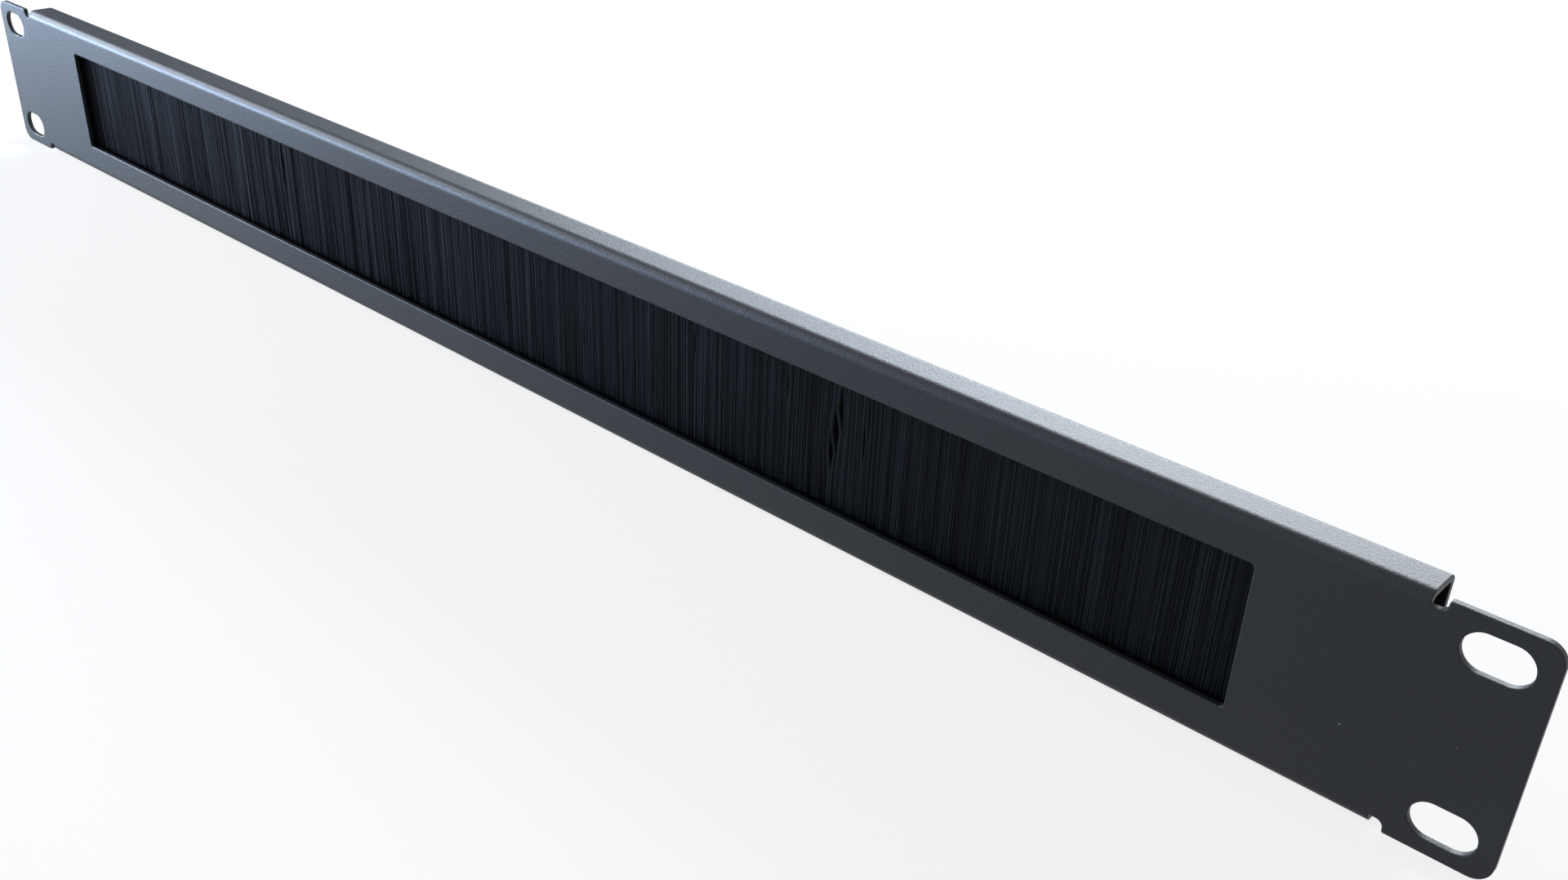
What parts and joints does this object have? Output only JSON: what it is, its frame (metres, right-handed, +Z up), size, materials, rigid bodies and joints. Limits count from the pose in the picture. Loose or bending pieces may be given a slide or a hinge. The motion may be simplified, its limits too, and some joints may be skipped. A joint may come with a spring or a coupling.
{
  "type": "rack brush strip panel",
  "caption": "Black folded steel rack blanking panel with a long window closed by a strip of hanging bristles, for passing cables.",
  "frame": {"origin": "centre of the four fixing slots, on the rear face of the ears", "axes": "+X along the width to the right seen from the front, +Y from the front to the rear, +Z up"},
  "size_m": [0.4826, 0.0088, 0.044],
  "materials": {
    "powder_coat": "satin",
    "holder_steel": "satin",
    "wire_steel": "satin",
    "bristle_nylon": "satin"
  },
  "bodies": {
    "root": {"front_panel": "powder_coat", "brush_holder": "holder_steel", "core_wire": "wire_steel", "bristle_curtain": "bristle_nylon"}
  },
  "joints": []
}
